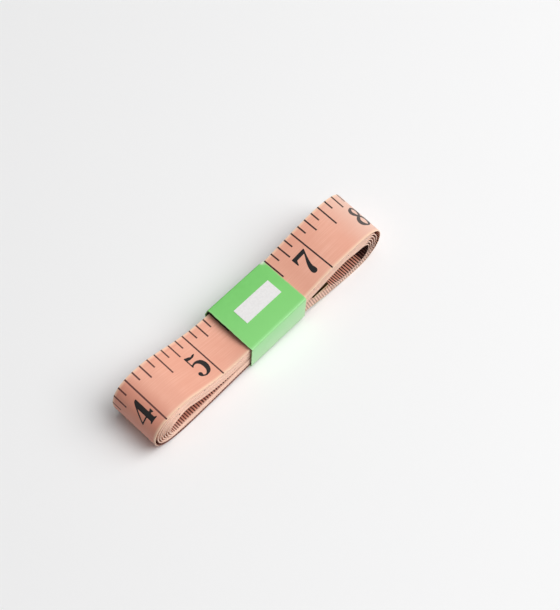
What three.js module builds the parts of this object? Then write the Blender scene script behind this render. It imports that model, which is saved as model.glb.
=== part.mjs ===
import * as THREE from 'three';

// A cloth tape measure wound flat and held round the middle by a paper band.
// Millimetres. X runs along the winding, Y across the tape, Z up from the table.
// Z = 0 is the table and X = 0 the middle of the winding.

// The tape
const tapeWidth = 19;
const tapeThickness = 0.25;
const turns = 7;
const turnGap = 0.49; // clear space between turns where the band gathers them
const coilLength = 103.8;

// The two open ends of the winding
const leftHeight = 16.4;
const rightHeight = 17.4;
const lobeTopPitch = 0.95; // turns lie looser on top of the open ends
const leftBendShift = 0.15; // each inner bend stops this much shorter
const rightBendShift = 0.2;
const leftTopFlat = 3;
const leftBottomFlat = 8;
const rightTopFlat = 1.5;
const rightTouchdown = 9.9; // the lower runs come down to the table this far past the outer tip

// The gathered middle, where the band sits aslant
const bandCentreX = 3.5;
const gatherHeight = 7; // middle of the stack above the table, at the band's centre
const bandTilt = 3; // degrees, rising towards +X
const mouthLength = 1; // straight run of the turns beyond each edge of the band

// The band
const bandLength = 25.2;
const cardThickness = 0.25;
const bandTopClearance = 0.6;
const bandBottomClearance = 0.3;
const bandSideClearance = 0.3;
const foldRadius = 0.4;
const flapLength = 12; // glued overlap underneath

// The label
const labelLength = 16.2;
const labelWidth = 6.4;
const labelThickness = 0.12;
const labelCorner = 0.3;
const labelOffsetX = 0.85;
const labelOffsetY = 0.75;
const labelTurn = -0.8; // degrees about the band's top
const labelGap = 0.3;

// The crimped tips
const tipLength = 7;
const tipSheet = 0.25;
const tipEndGap = 0.3;
const tipLead = 0.5; // bare straight tape before each tip
const endRunLength = 2.5; // length over which a loose end comes level, past the mouth
const outerEndDrop = 1.8; // loose outer end below its level in the stack
const innerEndRise = 0.1; // loose inner end above its level in the stack

// Steps along the winding
const flareSteps = 8;
const bendSteps = 12;

const tilt = THREE.MathUtils.degToRad(bandTilt);
const pitch = tapeThickness + turnGap;
const stackPitch = pitch / Math.cos(tilt);
const stackHeight = (2 * turns - 1) * pitch + tapeThickness;
const half = tapeThickness / 2;

const leftTop = leftHeight - half;
const rightTop = rightHeight - half;
const gatherLeft = bandCentreX - bandLength / 2 - mouthLength;
const gatherRight = bandCentreX + bandLength / 2 + mouthLength;
const tipRoot = gatherRight + endRunLength + tipLead;
const touchdownX = tipRoot + tipLength + rightTouchdown;

// Centreline heights over the open ends, by turn counted from the outside.
const leftTopZ = (turn) => leftTop - turn * lobeTopPitch;
const leftBottomZ = (turn) => half + turn * pitch;
const rightTopZ = (turn) => rightTop - turn * lobeTopPitch;
const rightBottomZ = (turn) => half + turn * pitch;
const leftRadius = (turn) => (leftTopZ(turn) - leftBottomZ(turn)) / 2;
const rightRadius = (turn) => (rightTopZ(turn) - rightBottomZ(turn)) / 2;
const leftCentre = (turn) => half - coilLength / 2 + leftRadius(0) + turn * leftBendShift;
const rightCentre = (turn) => coilLength / 2 - half - rightRadius(0) - turn * rightBendShift;

// Height of a turn in the gathered stack.
function stackZ(x, turn, side) {
  const middle = gatherHeight + (x - bandCentreX) * Math.tan(tilt);
  return middle + side * (turns - 0.5 - turn) * stackPitch;
}

function ease(from, to, x) {
  const u = THREE.MathUtils.clamp((x - from) / (to - from), 0, 1);
  return u * u * (3 - 2 * u);
}

// One half of a run, from the band's mouth out to the flat crest of an open end.
function flare(mouthX, crestX, bendX, crestZ, turn, side) {
  const points = [];
  for (let i = 0; i <= flareSteps; i++) {
    const x = THREE.MathUtils.lerp(mouthX, crestX, i / flareSteps);
    const z = stackZ(x, turn, side);
    points.push(new THREE.Vector2(x, z + (crestZ - z) * ease(mouthX, crestX, x)));
  }
  for (const share of [0.25, 0.75]) {
    points.push(new THREE.Vector2(THREE.MathUtils.lerp(crestX, bendX, share), crestZ));
  }
  return points;
}

function bend(centreX, bottomZ, topZ, side) {
  const radius = (topZ - bottomZ) / 2;
  const points = [];
  for (let i = 0; i <= bendSteps; i++) {
    const angle = Math.PI * (i / bendSteps - 0.5);
    const x = centreX + side * radius * Math.cos(angle);
    points.push(new THREE.Vector2(x, bottomZ + radius + radius * Math.sin(angle)));
  }
  return points;
}

// A loose end leaves the stack at the mouth, comes level and runs straight to its end.
function looseEnd(turn, side, levelZ) {
  const start = stackZ(gatherRight, turn, side);
  const points = [];
  for (let i = 0; i <= flareSteps; i++) {
    const x = gatherRight + endRunLength * i / flareSteps;
    points.push(new THREE.Vector2(x, start + (levelZ - start) * ease(0, flareSteps, i)));
  }
  points.push(new THREE.Vector2(tipRoot, levelZ));
  points.push(new THREE.Vector2(tipRoot + tipLength - tipSheet - tipEndGap, levelZ));
  return points;
}

const outerLevel = stackZ(gatherRight, 0, -1) - outerEndDrop;
const innerLevel = stackZ(gatherRight, turns - 1, 1) + innerEndRise;

// The whole centreline, from the outer end under the stack to the inner end in the right-hand eye.
function windingPath() {
  const path = [];
  for (let turn = 0; turn < turns; turn++) {
    const bottomZ = leftBottomZ(turn);
    const topZ = leftTopZ(turn);
    const leftX = leftCentre(turn);
    if (turn === 0) {
      path.push(...looseEnd(0, -1, outerLevel).reverse());
    } else {
      const rightX = rightCentre(turn - 1);
      const crestZ = rightBottomZ(turn - 1);
      path.push(...flare(gatherRight, touchdownX, rightX, crestZ, turn, -1).reverse());
    }
    path.push(...flare(gatherLeft, leftX + leftBottomFlat, leftX, bottomZ, turn, -1));
    path.push(...bend(leftX, bottomZ, topZ, -1));
    path.push(...flare(gatherLeft, leftX + leftTopFlat, leftX, topZ, turn, 1).reverse());
    if (turn === turns - 1) {
      path.push(...looseEnd(turn, 1, innerLevel));
    } else {
      const rightX = rightCentre(turn);
      path.push(...flare(gatherRight, rightX - rightTopFlat, rightX, rightTopZ(turn), turn, 1));
      path.push(...bend(rightX, rightBottomZ(turn), rightTopZ(turn), 1).reverse());
    }
  }
  return path;
}

// A flat strip of the tape's section along the centreline.
function stripGeometry(path) {
  const positions = [];
  const indices = [];
  const last = path.length - 1;
  for (let i = 0; i <= last; i++) {
    const before = path[Math.max(i - 1, 0)];
    const after = path[Math.min(i + 1, last)];
    const along = after.clone().sub(before).normalize();
    const nx = -along.y * half;
    const nz = along.x * half;
    const { x, y: z } = path[i];
    positions.push(x + nx, tapeWidth / 2, z + nz);
    positions.push(x + nx, -tapeWidth / 2, z + nz);
    positions.push(x - nx, -tapeWidth / 2, z - nz);
    positions.push(x - nx, tapeWidth / 2, z - nz);
  }
  for (let i = 0; i < last; i++) {
    for (let k = 0; k < 4; k++) {
      const a = 4 * i + k;
      const b = 4 * i + (k + 1) % 4;
      indices.push(a, b, b + 4, a, b + 4, a + 4);
    }
  }
  const end = 4 * last;
  indices.push(0, 2, 1, 0, 3, 2);
  indices.push(end, end + 1, end + 2, end, end + 2, end + 3);
  const geometry = new THREE.BufferGeometry();
  geometry.setAttribute('position', new THREE.Float32BufferAttribute(positions, 3));
  geometry.setIndex(indices);
  geometry.computeVertexNormals();
  return geometry;
}

// Clear gap between turns, from each point of the centreline to every other turn's segments.
function leastGap(path) {
  const arc = [0];
  for (let i = 1; i < path.length; i++) {
    arc.push(arc[i - 1] + path[i].distanceTo(path[i - 1]));
  }
  const skip = 2 * leftRadius(turns - 1);
  const nearest = new THREE.Vector3();
  const line = new THREE.Line3();
  let least = Infinity;
  for (let i = 0; i < path.length; i++) {
    const point = new THREE.Vector3(path[i].x, 0, path[i].y);
    for (let j = 1; j < path.length; j++) {
      if (Math.abs(arc[j] - arc[i]) < skip || Math.abs(arc[j - 1] - arc[i]) < skip) {
        continue;
      }
      line.start.set(path[j - 1].x, 0, path[j - 1].y);
      line.end.set(path[j].x, 0, path[j].y);
      line.closestPointToPoint(point, true, nearest);
      least = Math.min(least, point.distanceTo(nearest) - tapeThickness);
    }
  }
  return { least, length: arc[arc.length - 1] };
}

// A closed outline through corner points, with each corner rounded by its own radius.
function roundedOutline(corners, path) {
  const count = corners.length;
  for (let i = 0; i < count; i++) {
    const [x, y, radius] = corners[i];
    const corner = new THREE.Vector2(x, y);
    const previous = corners[(i + count - 1) % count];
    const next = corners[(i + 1) % count];
    const back = new THREE.Vector2(previous[0] - x, previous[1] - y).setLength(radius).add(corner);
    const ahead = new THREE.Vector2(next[0] - x, next[1] - y).setLength(radius).add(corner);
    if (i === 0) {
      path.moveTo(back.x, back.y);
    } else {
      path.lineTo(back.x, back.y);
    }
    if (radius > 0) {
      path.quadraticCurveTo(x, y, ahead.x, ahead.y);
    }
  }
  path.closePath();
  return path;
}

// The card strip in section: four folds, and its outer end lapped under the bottom.
function bandGeometry() {
  const innerY = tapeWidth / 2 + bandSideClearance;
  const innerTop = stackHeight / 2 + bandTopClearance;
  const innerBottom = -stackHeight / 2 - bandBottomClearance;
  const outerY = innerY + cardThickness;
  const outerTop = innerTop + cardThickness;
  const outerBottom = innerBottom - cardThickness;
  const flapBottom = outerBottom - cardThickness;
  const innerFold = foldRadius - cardThickness;
  const section = roundedOutline([
    [-outerY, outerBottom, foldRadius],
    [outerY - flapLength, outerBottom, 0],
    [outerY - flapLength, flapBottom, 0],
    [outerY, flapBottom, foldRadius],
    [outerY, outerTop, foldRadius],
    [-outerY, outerTop, foldRadius],
  ], new THREE.Shape());
  section.holes.push(roundedOutline([
    [-innerY, innerBottom, innerFold],
    [-innerY, innerTop, innerFold],
    [innerY, innerTop, innerFold],
    [innerY, innerBottom, innerFold],
  ], new THREE.Path()));
  const geometry = new THREE.ExtrudeGeometry(section, { depth: bandLength, bevelEnabled: false, curveSegments: 4 });
  geometry.translate(0, 0, -bandLength / 2);
  geometry.applyMatrix4(sectionToX);
  return geometry;
}

// Sections are drawn with Y across and Z up, and extruded along X.
const sectionToX = new THREE.Matrix4().makeBasis(
  new THREE.Vector3(0, 1, 0),
  new THREE.Vector3(0, 0, 1),
  new THREE.Vector3(1, 0, 0),
);

function labelGeometry() {
  const x = labelLength / 2;
  const y = labelWidth / 2;
  const outline = roundedOutline([
    [-x, -y, labelCorner],
    [x, -y, labelCorner],
    [x, y, labelCorner],
    [-x, y, labelCorner],
  ], new THREE.Shape());
  return new THREE.ExtrudeGeometry(outline, { depth: labelThickness, bevelEnabled: false, curveSegments: 3 });
}

// A strip of brass folded over the tape's end, open towards the tape.
function tipGeometry(rootX, levelZ) {
  const endX = rootX + tipLength;
  const inner = [levelZ - half, levelZ + half];
  const outer = [inner[0] - tipSheet, inner[1] + tipSheet];
  const slotX = endX - tipSheet;
  const section = new THREE.Shape([
    new THREE.Vector2(rootX, outer[0]),
    new THREE.Vector2(endX, outer[0]),
    new THREE.Vector2(endX, outer[1]),
    new THREE.Vector2(rootX, outer[1]),
    new THREE.Vector2(rootX, inner[1]),
    new THREE.Vector2(slotX, inner[1]),
    new THREE.Vector2(slotX, inner[0]),
    new THREE.Vector2(rootX, inner[0]),
  ]);
  const geometry = new THREE.ExtrudeGeometry(section, { depth: tapeWidth, bevelEnabled: false });
  geometry.applyMatrix4(new THREE.Matrix4().makeBasis(
    new THREE.Vector3(1, 0, 0),
    new THREE.Vector3(0, 0, 1),
    new THREE.Vector3(0, -1, 0),
  ));
  geometry.translate(0, tapeWidth / 2, 0);
  return geometry;
}

function piece(name, geometry, color, roughness, metalness) {
  const mesh = new THREE.Mesh(geometry, new THREE.MeshStandardMaterial({ color, roughness, metalness }));
  mesh.name = name;
  return mesh;
}

const path = windingPath();
const winding = leastGap(path);
console.log(`tape length ${winding.length.toFixed(1)} mm`);
console.log(`least gap between turns ${winding.least.toFixed(3)} mm`);

const measure = new THREE.Group();
measure.add(piece('tape_ribbon', stripGeometry(path), 0xebac96, 0.55, 0));

measure.add(piece('outer_end_tip', tipGeometry(tipRoot, outerLevel), 0xb9923f, 0.3, 1));
measure.add(piece('inner_end_tip', tipGeometry(tipRoot, innerLevel), 0xb9923f, 0.3, 1));

const wrap = new THREE.Group();
wrap.position.set(bandCentreX, 0, gatherHeight);
wrap.rotation.y = -tilt;
wrap.add(piece('paper_band', bandGeometry(), 0x80d574, 0.6, 0));

const label = piece('band_label', labelGeometry(), 0xf4f4f2, 0.5, 0);
label.position.set(labelOffsetX, labelOffsetY, stackHeight / 2 + bandTopClearance + cardThickness + labelGap);
label.rotation.z = THREE.MathUtils.degToRad(labelTurn);
wrap.add(label);
measure.add(wrap);

export default measure;
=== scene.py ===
import math

import bpy
import numpy as np
from mathutils import Matrix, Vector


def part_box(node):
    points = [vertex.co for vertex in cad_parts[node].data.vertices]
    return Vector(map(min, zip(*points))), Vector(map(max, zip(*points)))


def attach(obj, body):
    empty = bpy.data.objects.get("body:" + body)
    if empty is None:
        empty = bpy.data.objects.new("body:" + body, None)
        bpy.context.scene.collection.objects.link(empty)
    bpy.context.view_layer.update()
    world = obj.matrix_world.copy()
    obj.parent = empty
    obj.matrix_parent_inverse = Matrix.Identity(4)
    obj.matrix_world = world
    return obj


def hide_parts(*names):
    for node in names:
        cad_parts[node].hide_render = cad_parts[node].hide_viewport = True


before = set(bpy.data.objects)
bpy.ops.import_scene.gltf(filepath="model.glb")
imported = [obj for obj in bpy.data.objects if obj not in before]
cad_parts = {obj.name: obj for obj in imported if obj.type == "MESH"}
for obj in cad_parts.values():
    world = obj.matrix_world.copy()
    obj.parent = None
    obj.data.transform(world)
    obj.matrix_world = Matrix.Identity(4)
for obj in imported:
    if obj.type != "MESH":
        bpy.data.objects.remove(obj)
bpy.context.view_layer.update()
mm = 0.001  # every size below is in millimetres, and meshes are written in metres
scene = bpy.context.scene
scene.view_settings.view_transform = "Standard"


def nodeBox(node):  # lowest and highest corner of a solid, in millimetres
    low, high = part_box(node)
    return np.array(low) / mm, np.array(high) / mm


def ease(u):  # smooth step: 3u2 - 2u3, held at 0 and 1 outside
    u = np.clip(u, 0, 1)
    return u * u * (3 - 2 * u)


def curveThrough(x, stationX, stationZ):  # cubic Hermite curve through stations, slopes by finite differences
    stationX, stationZ = np.asarray(stationX, float), np.asarray(stationZ, float)
    slope = np.gradient(stationZ, stationX, axis=0)
    i = np.clip(np.searchsorted(stationX, x) - 1, 0, len(stationX) - 2)
    span = stationX[i + 1] - stationX[i]
    u = np.clip((x - stationX[i]) / span, 0, 1)
    if stationZ.ndim > 1:
        span, u = span[:, None], u[:, None]
    ends = (1 + 2 * u) * (1 - u) ** 2 * stationZ[i] + u * u * (3 - 2 * u) * stationZ[i + 1]
    return ends + span * (u * (1 - u) ** 2 * slope[i] + u * u * (u - 1) * slope[i + 1])


def makePiece(name, points, faces, material, sharpAngle=35):  # smooth, but sharp where faces meet steeply
    mesh = bpy.data.meshes.new(name)
    mesh.from_pydata((np.reshape(points, (-1, 3)) * mm).tolist(), [], faces)
    mesh.polygons.foreach_set("use_smooth", np.ones(len(mesh.polygons), bool))
    mesh.set_sharp_from_angle(angle=math.radians(sharpAngle))
    mesh.materials.append(material)
    piece = bpy.data.objects.new(name, mesh)
    scene.collection.objects.link(piece)
    return piece


def paintPoints(piece, name, values):  # a number for each point, which a finish can read
    paint = piece.data.attributes.new(name, "FLOAT", "POINT")
    paint.data.foreach_set("value", np.ravel(values).astype(np.float32))


def paintSheets(piece, name, outer, inner=0):  # the same for a slab: its outer sheet, then its inner sheet
    paintPoints(piece, name, np.stack([outer, inner + 0 * outer]))


def gridFaces(rows, columns):  # quads of a grid of points, row by row
    i = np.arange(rows - 1)[:, None] * columns + np.arange(columns - 1)
    return np.stack([i, i + 1, i + columns + 1, i + columns], -1).reshape(-1, 4)


def slabFaces(outer, inner):  # closed slab between two grids: both sheets and the four rims between them
    rows, columns = outer.shape[:2]
    sheet = gridFaces(rows, columns)
    near = rows * columns
    index = np.arange(near).reshape(rows, columns)
    rim = np.concatenate([index[0, :-1], index[:-1, -1], index[-1, :0:-1], index[:0:-1, 0]])
    after = np.roll(rim, -1)
    walls = np.stack([rim, rim + near, after + near, after], -1)
    faces = np.concatenate([sheet, sheet[:, ::-1] + near, walls])
    across = np.cross(outer[0, 1] - outer[0, 0], outer[1, 0] - outer[0, 0])
    if across @ (outer[0, 0] - inner[0, 0]) < 0:
        faces = faces[:, ::-1]
    return faces


def makeSlab(name, outer, inner, material):  # a piece whose two sheets are grids of points
    return makePiece(name, np.stack([outer, inner]), slabFaces(outer, inner).tolist(), material)


def between(ends, share):  # straight from the first to the second
    return ends[0] + share * (ends[1] - ends[0])


# Finishes
def newFinish(name):
    material = bpy.data.materials.new(name)
    material.use_nodes = True
    tree = material.node_tree
    return material, tree, tree.nodes["Principled BSDF"]


def setInputs(tree, node, **inputs):  # links sockets and sets plain values, by name or by place (i0, i1)
    for key, value in inputs.items():
        socket = node.inputs[int(key[1:])] if key[1:].isdigit() else node.inputs[key.replace("_", " ")]
        if isinstance(value, bpy.types.NodeSocket):
            tree.links.new(value, socket)
        else:
            socket.default_value = value


def addNode(tree, kind, settings=None, **inputs):
    node = tree.nodes.new(kind)
    for key, value in (settings or {}).items():
        setattr(node, key, value)
    setInputs(tree, node, **inputs)
    return node


def blendColour(tree, share, first, second):  # mix of two colours, or of a socket and a colour, by share
    first, second = ((*tone, 1) if isinstance(tone, tuple) else tone for tone in (first, second))
    return addNode(tree, "ShaderNodeMix", {"data_type": "RGBA"}, i0=share, i6=first, i7=second).outputs[2]


def ramp(tree, value, low, high, first=0.0, last=1.0):  # value moved from low..high to first..last
    return addNode(tree, "ShaderNodeMapRange", None, i0=value, i1=low, i2=high, i3=first, i4=last).outputs[0]


def combine(tree, operation, first, second):
    return addNode(tree, "ShaderNodeMath", {"operation": operation}, i0=first, i1=second).outputs[0]


def noise(tree, place, scale, detail):
    return addNode(tree, "ShaderNodeTexNoise", None, Vector=place, Scale=scale, Detail=detail).outputs[0]


def stretched(tree, place, scale):
    return addNode(tree, "ShaderNodeMapping", None, Vector=place, Scale=scale).outputs[0]


def solidPlace(tree):  # where a point lies in the object's own frame, in metres
    return addNode(tree, "ShaderNodeTexCoord").outputs["Object"]


def readPoints(tree, name):
    return addNode(tree, "ShaderNodeAttribute", {"attribute_name": name}).outputs["Fac"]


def addBump(tree, shader, height, strength, depth):  # depth in millimetres
    bump = addNode(tree, "ShaderNodeBump", None, Height=height, Strength=strength, Distance=depth * mm)
    setInputs(tree, shader, Normal=bump.outputs[0])


clothLook = dict(
    # the reverse tone is painted shade on the inner face
    pink=(0.79, 0.365, 0.258), paler=(0.87, 0.46, 0.34), reverse=(0.66, 0.25, 0.17), cut=(0.93, 0.64, 0.46),
    # the bend tone is painted shade at the left bend
    # the crest tone is a painted sheen on the right end's crest
    # the first tone here colours the inner turns' cut edges, and is also painted light beside them at the
    # left bend
    # the last tone here is ink bled into cut edges, and also a painted shadow line along the first run at the
    # left end
    innerCutAndPaintedLight=(0.92, 0.63, 0.50), crest=(0.79, 0.51, 0.41), bend=(0.68, 0.27, 0.19), edgeDark=(0.20, 0.08, 0.07),
    # points painted with each of these tones, in the order that they cover each other
    layers=(("crestSheen", "crest"), ("bendShade", "bend"), ("reverse", "reverse"),
            ("innerEdgeAndPaintedLight", "innerCutAndPaintedLight"), ("outerEdge", "cut")),
    threadAlong=0.05, threadAcross=2.6, threadScale=1.0, streakDetail=3.0, streakRange=(0.3, 0.7),
    cloudScale=0.11, cloudDetail=2.0, cloudRange=(0.35, 0.75),
    weaveAlong=10.0, weaveAcross=16.0, weaveScale=0.25,
    inkSlant=0.34, inkWash=0.25, inkStep=0.5, inkRange=(0.18, 0.32),  # ends of the marks, one to a millimetre
    roughness=(0.42, 0.58), bump=0.10, bumpDepth=0.04, specular=0.35, sheen=0.1, sheenRoughness=0.4,
)


def clothFinish():  # coated cloth: lengthwise streaks, a fine weave, paler cut edges and ink bled into them; painted light and shade in places
    look = clothLook
    material, tree, shader = newFinish("coatedCloth")
    place = addNode(tree, "ShaderNodeUVMap", {"uv_map": "clothMap"}).outputs[0]
    threads = stretched(tree, place, (look["threadAlong"], look["threadAcross"], 1))
    streaks = noise(tree, threads, look["threadScale"], look["streakDetail"])
    cloud = noise(tree, place, look["cloudScale"], look["cloudDetail"])
    fine = stretched(tree, place, (look["weaveAlong"], look["weaveAcross"], 1))
    weave = addNode(tree, "ShaderNodeTexChecker", None, Vector=fine, Scale=look["weaveScale"]).outputs[1]
    streaked = blendColour(tree, ramp(tree, streaks, *look["streakRange"]), look["pink"], look["paler"])
    colour = blendColour(tree, ramp(tree, cloud, *look["cloudRange"]), streaked, look["pink"])
    # some of these layers are painted sheen, painted shade and painted light
    for paint, tone in look["layers"]:
        colour = blendColour(tree, readPoints(tree, paint), colour, look[tone])
    slanted = addNode(tree, "ShaderNodeVectorMath", {"operation": "DOT_PRODUCT"}, i0=solidPlace(tree),
                      i1=(1 / mm, 0, look["inkSlant"] / mm)).outputs["Value"]
    stripes = ramp(tree, combine(tree, "PINGPONG", slanted, look["inkStep"]), *look["inkRange"], 1.0, 0.0)
    inked = readPoints(tree, "edgeInk")
    wash = combine(tree, "MULTIPLY", inked, look["inkWash"])
    edgeDark = combine(tree, "MULTIPLY", inked, combine(tree, "MAXIMUM", stripes, wash))
    striped = blendColour(tree, edgeDark, colour, look["edgeDark"])
    # painted shadow, with some ink, along the first run's edge and in the gap at the left bend
    lined = blendColour(tree, readPoints(tree, "edgeShadowAndInk"), striped, look["edgeDark"])
    rough = ramp(tree, streaks, *look["streakRange"], *look["roughness"])
    setInputs(tree, shader, Base_Color=lined, Roughness=rough, Specular_IOR_Level=look["specular"],
              Sheen_Weight=look["sheen"], Sheen_Roughness=look["sheenRoughness"])
    addBump(tree, shader, combine(tree, "ADD", streaks, weave), look["bump"], look["bumpDepth"])
    return material


inkLooks = dict(
    # each ink's last tone is a painted sheen at the right end
    black=dict(dark=(0.005, 0.005, 0.006), worn=(0.011, 0.010, 0.010), lighterTone=(0.013, 0.011, 0.011),
               paled=(0.088, 0.076, 0.072)),
    brown=dict(dark=(0.022, 0.011, 0.010), worn=(0.050, 0.025, 0.022), lighterTone=(0.125, 0.050, 0.044),
               paled=(0.034, 0.018, 0.016)),
    maroon=dict(dark=(0.030, 0.008, 0.007), worn=(0.060, 0.018, 0.014), lighterTone=(0.170, 0.055, 0.042),
                paled=(0.030, 0.008, 0.007)),
)
inkWear = dict(
    grain=2200.0, grainDetail=2.0, grainRange=(0.4, 0.75), roughness=(0.45, 0.65), specular=0.2,
    freshAt=12.0, fadedAt=-45.0,  # the left end's ink is worn thin
    sheenFrom=40.0, sheenAt=47.0,  # painted sheen: the right end's ink is painted grey
)


def inkFinish(name):  # printing ink, a little thin in places, with a painted sheen at the right end
    look, wear = inkLooks[name], inkWear
    material, tree, shader = newFinish(name + "Ink")
    place = solidPlace(tree)
    grain = noise(tree, place, wear["grain"], wear["grainDetail"])
    along = addNode(tree, "ShaderNodeSeparateXYZ", None, Vector=place).outputs[0]
    printed = blendColour(tree, ramp(tree, grain, *wear["grainRange"]), look["dark"], look["worn"])
    thin = ramp(tree, along, wear["freshAt"] * mm, wear["fadedAt"] * mm)
    # painted sheen on the ink at the right end
    grey = ramp(tree, along, wear["sheenFrom"] * mm, wear["sheenAt"] * mm)
    colour = blendColour(tree, grey, blendColour(tree, thin, printed, look["lighterTone"]), look["paled"])
    setInputs(tree, shader, Base_Color=colour, Specular_IOR_Level=wear["specular"],
              Roughness=ramp(tree, grain, 0.0, 1.0, *wear["roughness"]))
    return material


brassLook = dict(
    # the darkest tone here is painted shade and dark reflection on a tip's top sheet
    bright=(0.84, 0.68, 0.36), dull=(0.62, 0.46, 0.20), paintedShade=(0.10, 0.07, 0.03), grain=350.0,
    drawn=(8.0, 0.35, 8.0), lineDetail=3.0, patchDetail=4.0, dullRange=(0.42, 0.75),
    roughRange=(0.3, 0.8), roughness=(0.24, 0.48), bump=0.15, bumpDepth=0.05,
)


def brassFinish():  # stamped brass: drawn lines across the sheet, dull patches, and painted shade on the top sheet
    look = brassLook
    material, tree, shader = newFinish("stampedBrass")
    place = solidPlace(tree)
    lines = noise(tree, stretched(tree, place, look["drawn"]), look["grain"], look["lineDetail"])
    patches = noise(tree, place, look["grain"], look["patchDetail"])
    worn = blendColour(tree, ramp(tree, patches, *look["dullRange"]), look["bright"], look["dull"])
    # painted shade on the top sheet
    colour = blendColour(tree, readPoints(tree, "paintedShade"), worn, look["paintedShade"])
    setInputs(tree, shader, Base_Color=colour, Metallic=1.0,
              Roughness=ramp(tree, patches, *look["roughRange"], *look["roughness"]))
    addBump(tree, shader, lines, look["bump"], look["bumpDepth"])
    return material


cardLook = dict(
    # the third tone is painted light towards the near side of the top
    green=(0.157, 0.55, 0.121), fresh=(0.175, 0.58, 0.137), lighterTone=(0.212, 0.624, 0.163),
    # the inside tone is painted shade on the band's inner sheet
    crease=(0.28, 0.68, 0.235), core=(0.74, 0.80, 0.66), inside=(0.10, 0.11, 0.09),
    # the two side tones are painted sheen on the near side, with some scuffing
    sideTop=(0.40, 0.80, 0.385), scuffedSheenSide=(0.55, 0.81, 0.51),
    mottle=420.0, mottleDetail=4.0, mottleRange=(0.3, 0.7),
    fibre=2600.0, fibreDetail=3.0, fibreRange=(0.25, 0.6),
    roughness=(0.34, 0.46), bump=0.12, bumpDepth=0.03,
)


def cardFinish():  # printed card: mottled green, pale along folds and cut edges, with painted light and painted sheen towards its near side, and painted shade, dark grey, inside
    look = cardLook
    material, tree, shader = newFinish("greenCard")
    place = solidPlace(tree)
    mottle = noise(tree, place, look["mottle"], look["mottleDetail"])
    fibre = noise(tree, place, look["fibre"], look["fibreDetail"])
    mottled = blendColour(tree, ramp(tree, mottle, *look["mottleRange"]), look["green"], look["fresh"])
    # painted light, paler towards the near side
    face = blendColour(tree, readPoints(tree, "paintedNearLight"), mottled, look["lighterTone"])
    # painted sheen on the near side, with some scuffing
    sidePaint = blendColour(tree, readPoints(tree, "sideSheenAndScuff"), look["sideTop"], look["scuffedSheenSide"])
    side = blendColour(tree, readPoints(tree, "nearSide"), face, sidePaint)
    paled = combine(tree, "MULTIPLY", readPoints(tree, "fold"), ramp(tree, fibre, *look["fibreRange"]))
    folded = blendColour(tree, paled, side, look["crease"])
    bared = blendColour(tree, readPoints(tree, "bareCore"), folded, look["core"])
    # painted shade inside the band
    colour = blendColour(tree, readPoints(tree, "inside"), bared, look["inside"])
    setInputs(tree, shader, Base_Color=colour,
              Roughness=ramp(tree, mottle, *look["mottleRange"], *look["roughness"]))
    addBump(tree, shader, fibre, look["bump"], look["bumpDepth"])
    return material


paperLook = dict(
    white=(0.83, 0.815, 0.81), shade=(0.755, 0.74, 0.735), roughness=0.5,
    fibre=1500.0, fibreDetail=4.0, fibreRange=(0.35, 0.8), bump=0.1, bumpDepth=0.03,
)


def paperFinish():  # sticker paper with a faint fibre
    look = paperLook
    material, tree, shader = newFinish("stickerPaper")
    fibre = noise(tree, solidPlace(tree), look["fibre"], look["fibreDetail"])
    colour = blendColour(tree, ramp(tree, fibre, *look["fibreRange"]), look["white"], look["shade"])
    setInputs(tree, shader, Base_Color=colour, Roughness=look["roughness"])
    addBump(tree, shader, fibre, look["bump"], look["bumpDepth"])
    return material


coatedCloth = clothFinish()
blackInk = inkFinish("black")
brownInk = inkFinish("brown")
maroonInk = inkFinish("maroon")
stampedBrass = brassFinish()
greenCard = cardFinish()
stickerPaper = paperFinish()
print("finishes made")

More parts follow.
